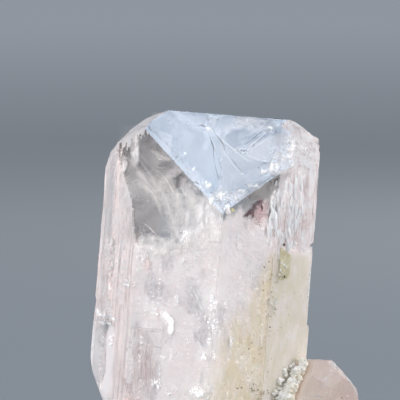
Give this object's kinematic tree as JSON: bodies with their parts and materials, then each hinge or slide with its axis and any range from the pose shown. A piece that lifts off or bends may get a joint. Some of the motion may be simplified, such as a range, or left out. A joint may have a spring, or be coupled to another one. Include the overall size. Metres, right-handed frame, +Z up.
{
  "type": "danburite crystal",
  "caption": "Stubby pink-tinged danburite crystal with a sloping roof face and striated sides, standing on its broken base, with a small second crystal at its foot.",
  "frame": {"origin": "middle of the specimen's bounding box, on the surface that it stands on", "axes": "+Z up, with the prism leaning 4.6 degrees towards +X; +X to the right of the front view; -Y is the front, where the big roof face slopes down"},
  "size_m": [0.0376, 0.026, 0.0445],
  "materials": {
    "milky_pink_crystal": "clear to milky, glassy lustre, fine vertical striations, olive stain in the seam",
    "rose_crystal": "translucent dusty rose, glassy, cracked inside",
    "matrix_grains": "sugary white grains with ochre clay between them"
  },
  "bodies": {
    "root": {"main_crystal": "milky_pink_crystal", "side_crystal": "rose_crystal", "matrix_crust": "matrix_grains"}
  },
  "joints": []
}
